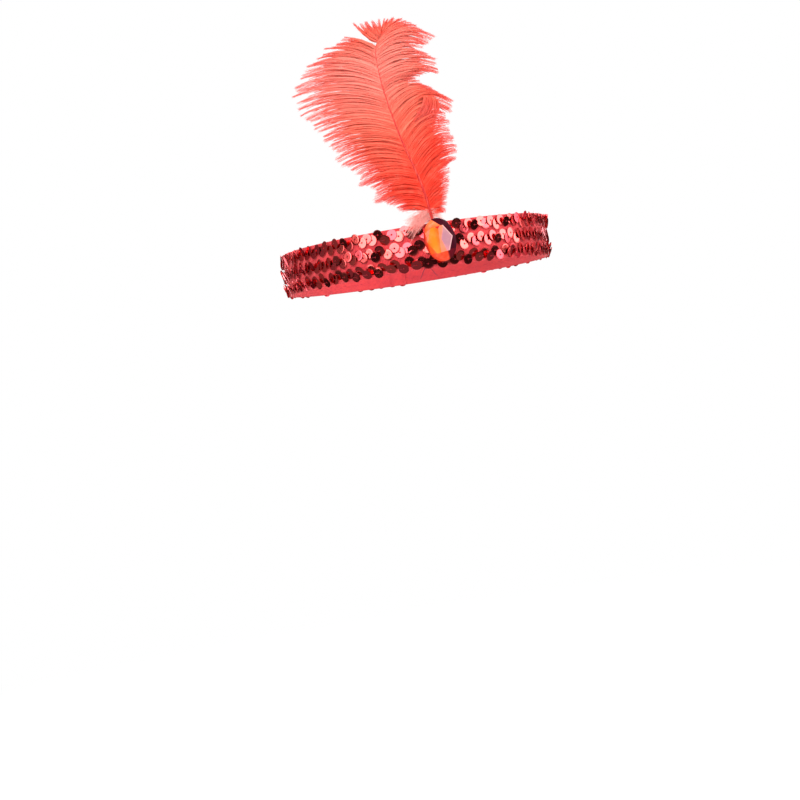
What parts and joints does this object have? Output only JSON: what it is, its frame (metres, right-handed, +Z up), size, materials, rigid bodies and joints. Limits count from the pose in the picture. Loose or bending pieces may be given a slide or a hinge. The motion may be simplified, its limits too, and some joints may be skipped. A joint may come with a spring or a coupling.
{
  "type": "flapper feather headband",
  "caption": "Stretch headband paved with rows of red sequins, with an orange oval stone and a coral ostrich plume at the front.",
  "frame": {"origin": "middle of the head opening, halfway up the band", "axes": "+Z up along the opening, -Y to the front where the stone and plume are, +X to the wearer's left"},
  "size_m": [0.1686, 0.2067, 0.146],
  "materials": {
    "stretch_cloth": "matt knitted stretch cloth, deep red",
    "sequins": "metallised film discs, red",
    "glue": "clear set glue",
    "stone": "polished, faceted, foil backed, orange to lilac",
    "quill": "dyed feather shaft, satin",
    "barbs": "dyed ostrich barbs, coral, matt and fluffy",
    "down": "pale pink down"
  },
  "bodies": {
    "root": {"band_fabric": "stretch_cloth", "sequin_row_bottom": "sequins", "sequin_row_middle": "sequins", "sequin_row_top": "sequins", "glue_pad": "glue", "quill": "quill", "vane_left": "barbs", "vane_right": "barbs", "down_tuft": "down", "gem": "stone"}
  },
  "joints": []
}
